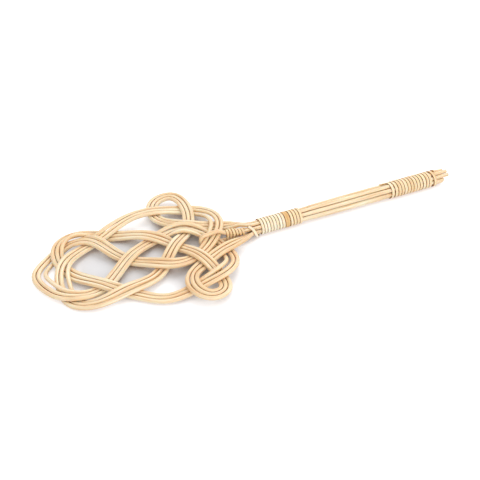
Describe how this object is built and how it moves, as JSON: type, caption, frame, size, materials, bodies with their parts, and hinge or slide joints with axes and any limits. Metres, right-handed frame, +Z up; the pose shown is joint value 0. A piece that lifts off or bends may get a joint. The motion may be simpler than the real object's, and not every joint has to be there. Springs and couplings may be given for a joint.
{
  "type": "carpet beater",
  "caption": "Plaited rattan carpet beater: an open knot of a flat cane ribbon on a straight round handle, bound with split cane at the neck and the grip.",
  "frame": {"origin": "on the floor, under the middle of the beater's length and width as it lies flat", "axes": "+X from the tip of the head to the end of the handle, +Y across the head, +Z up off the floor"},
  "size_m": [0.5994, 0.2274, 0.0243],
  "materials": {
    "rattan_cane": "satin, natural round cane",
    "pale_split_cane": "satin, split cane",
    "split_cane": "satin, split cane",
    "brown_split_cane": "satin, split cane, browned"
  },
  "bodies": {
    "root": {"knot_cane_left": "rattan_cane", "knot_cane_middle": "rattan_cane", "knot_cane_right": "rattan_cane", "tie_cane": "rattan_cane", "tie_binding": "split_cane", "neck_binding_front": "pale_split_cane", "neck_binding_rear": "split_cane", "binding_splice": "brown_split_cane", "grip_binding": "split_cane", "handle_core": "rattan_cane"}
  },
  "joints": []
}
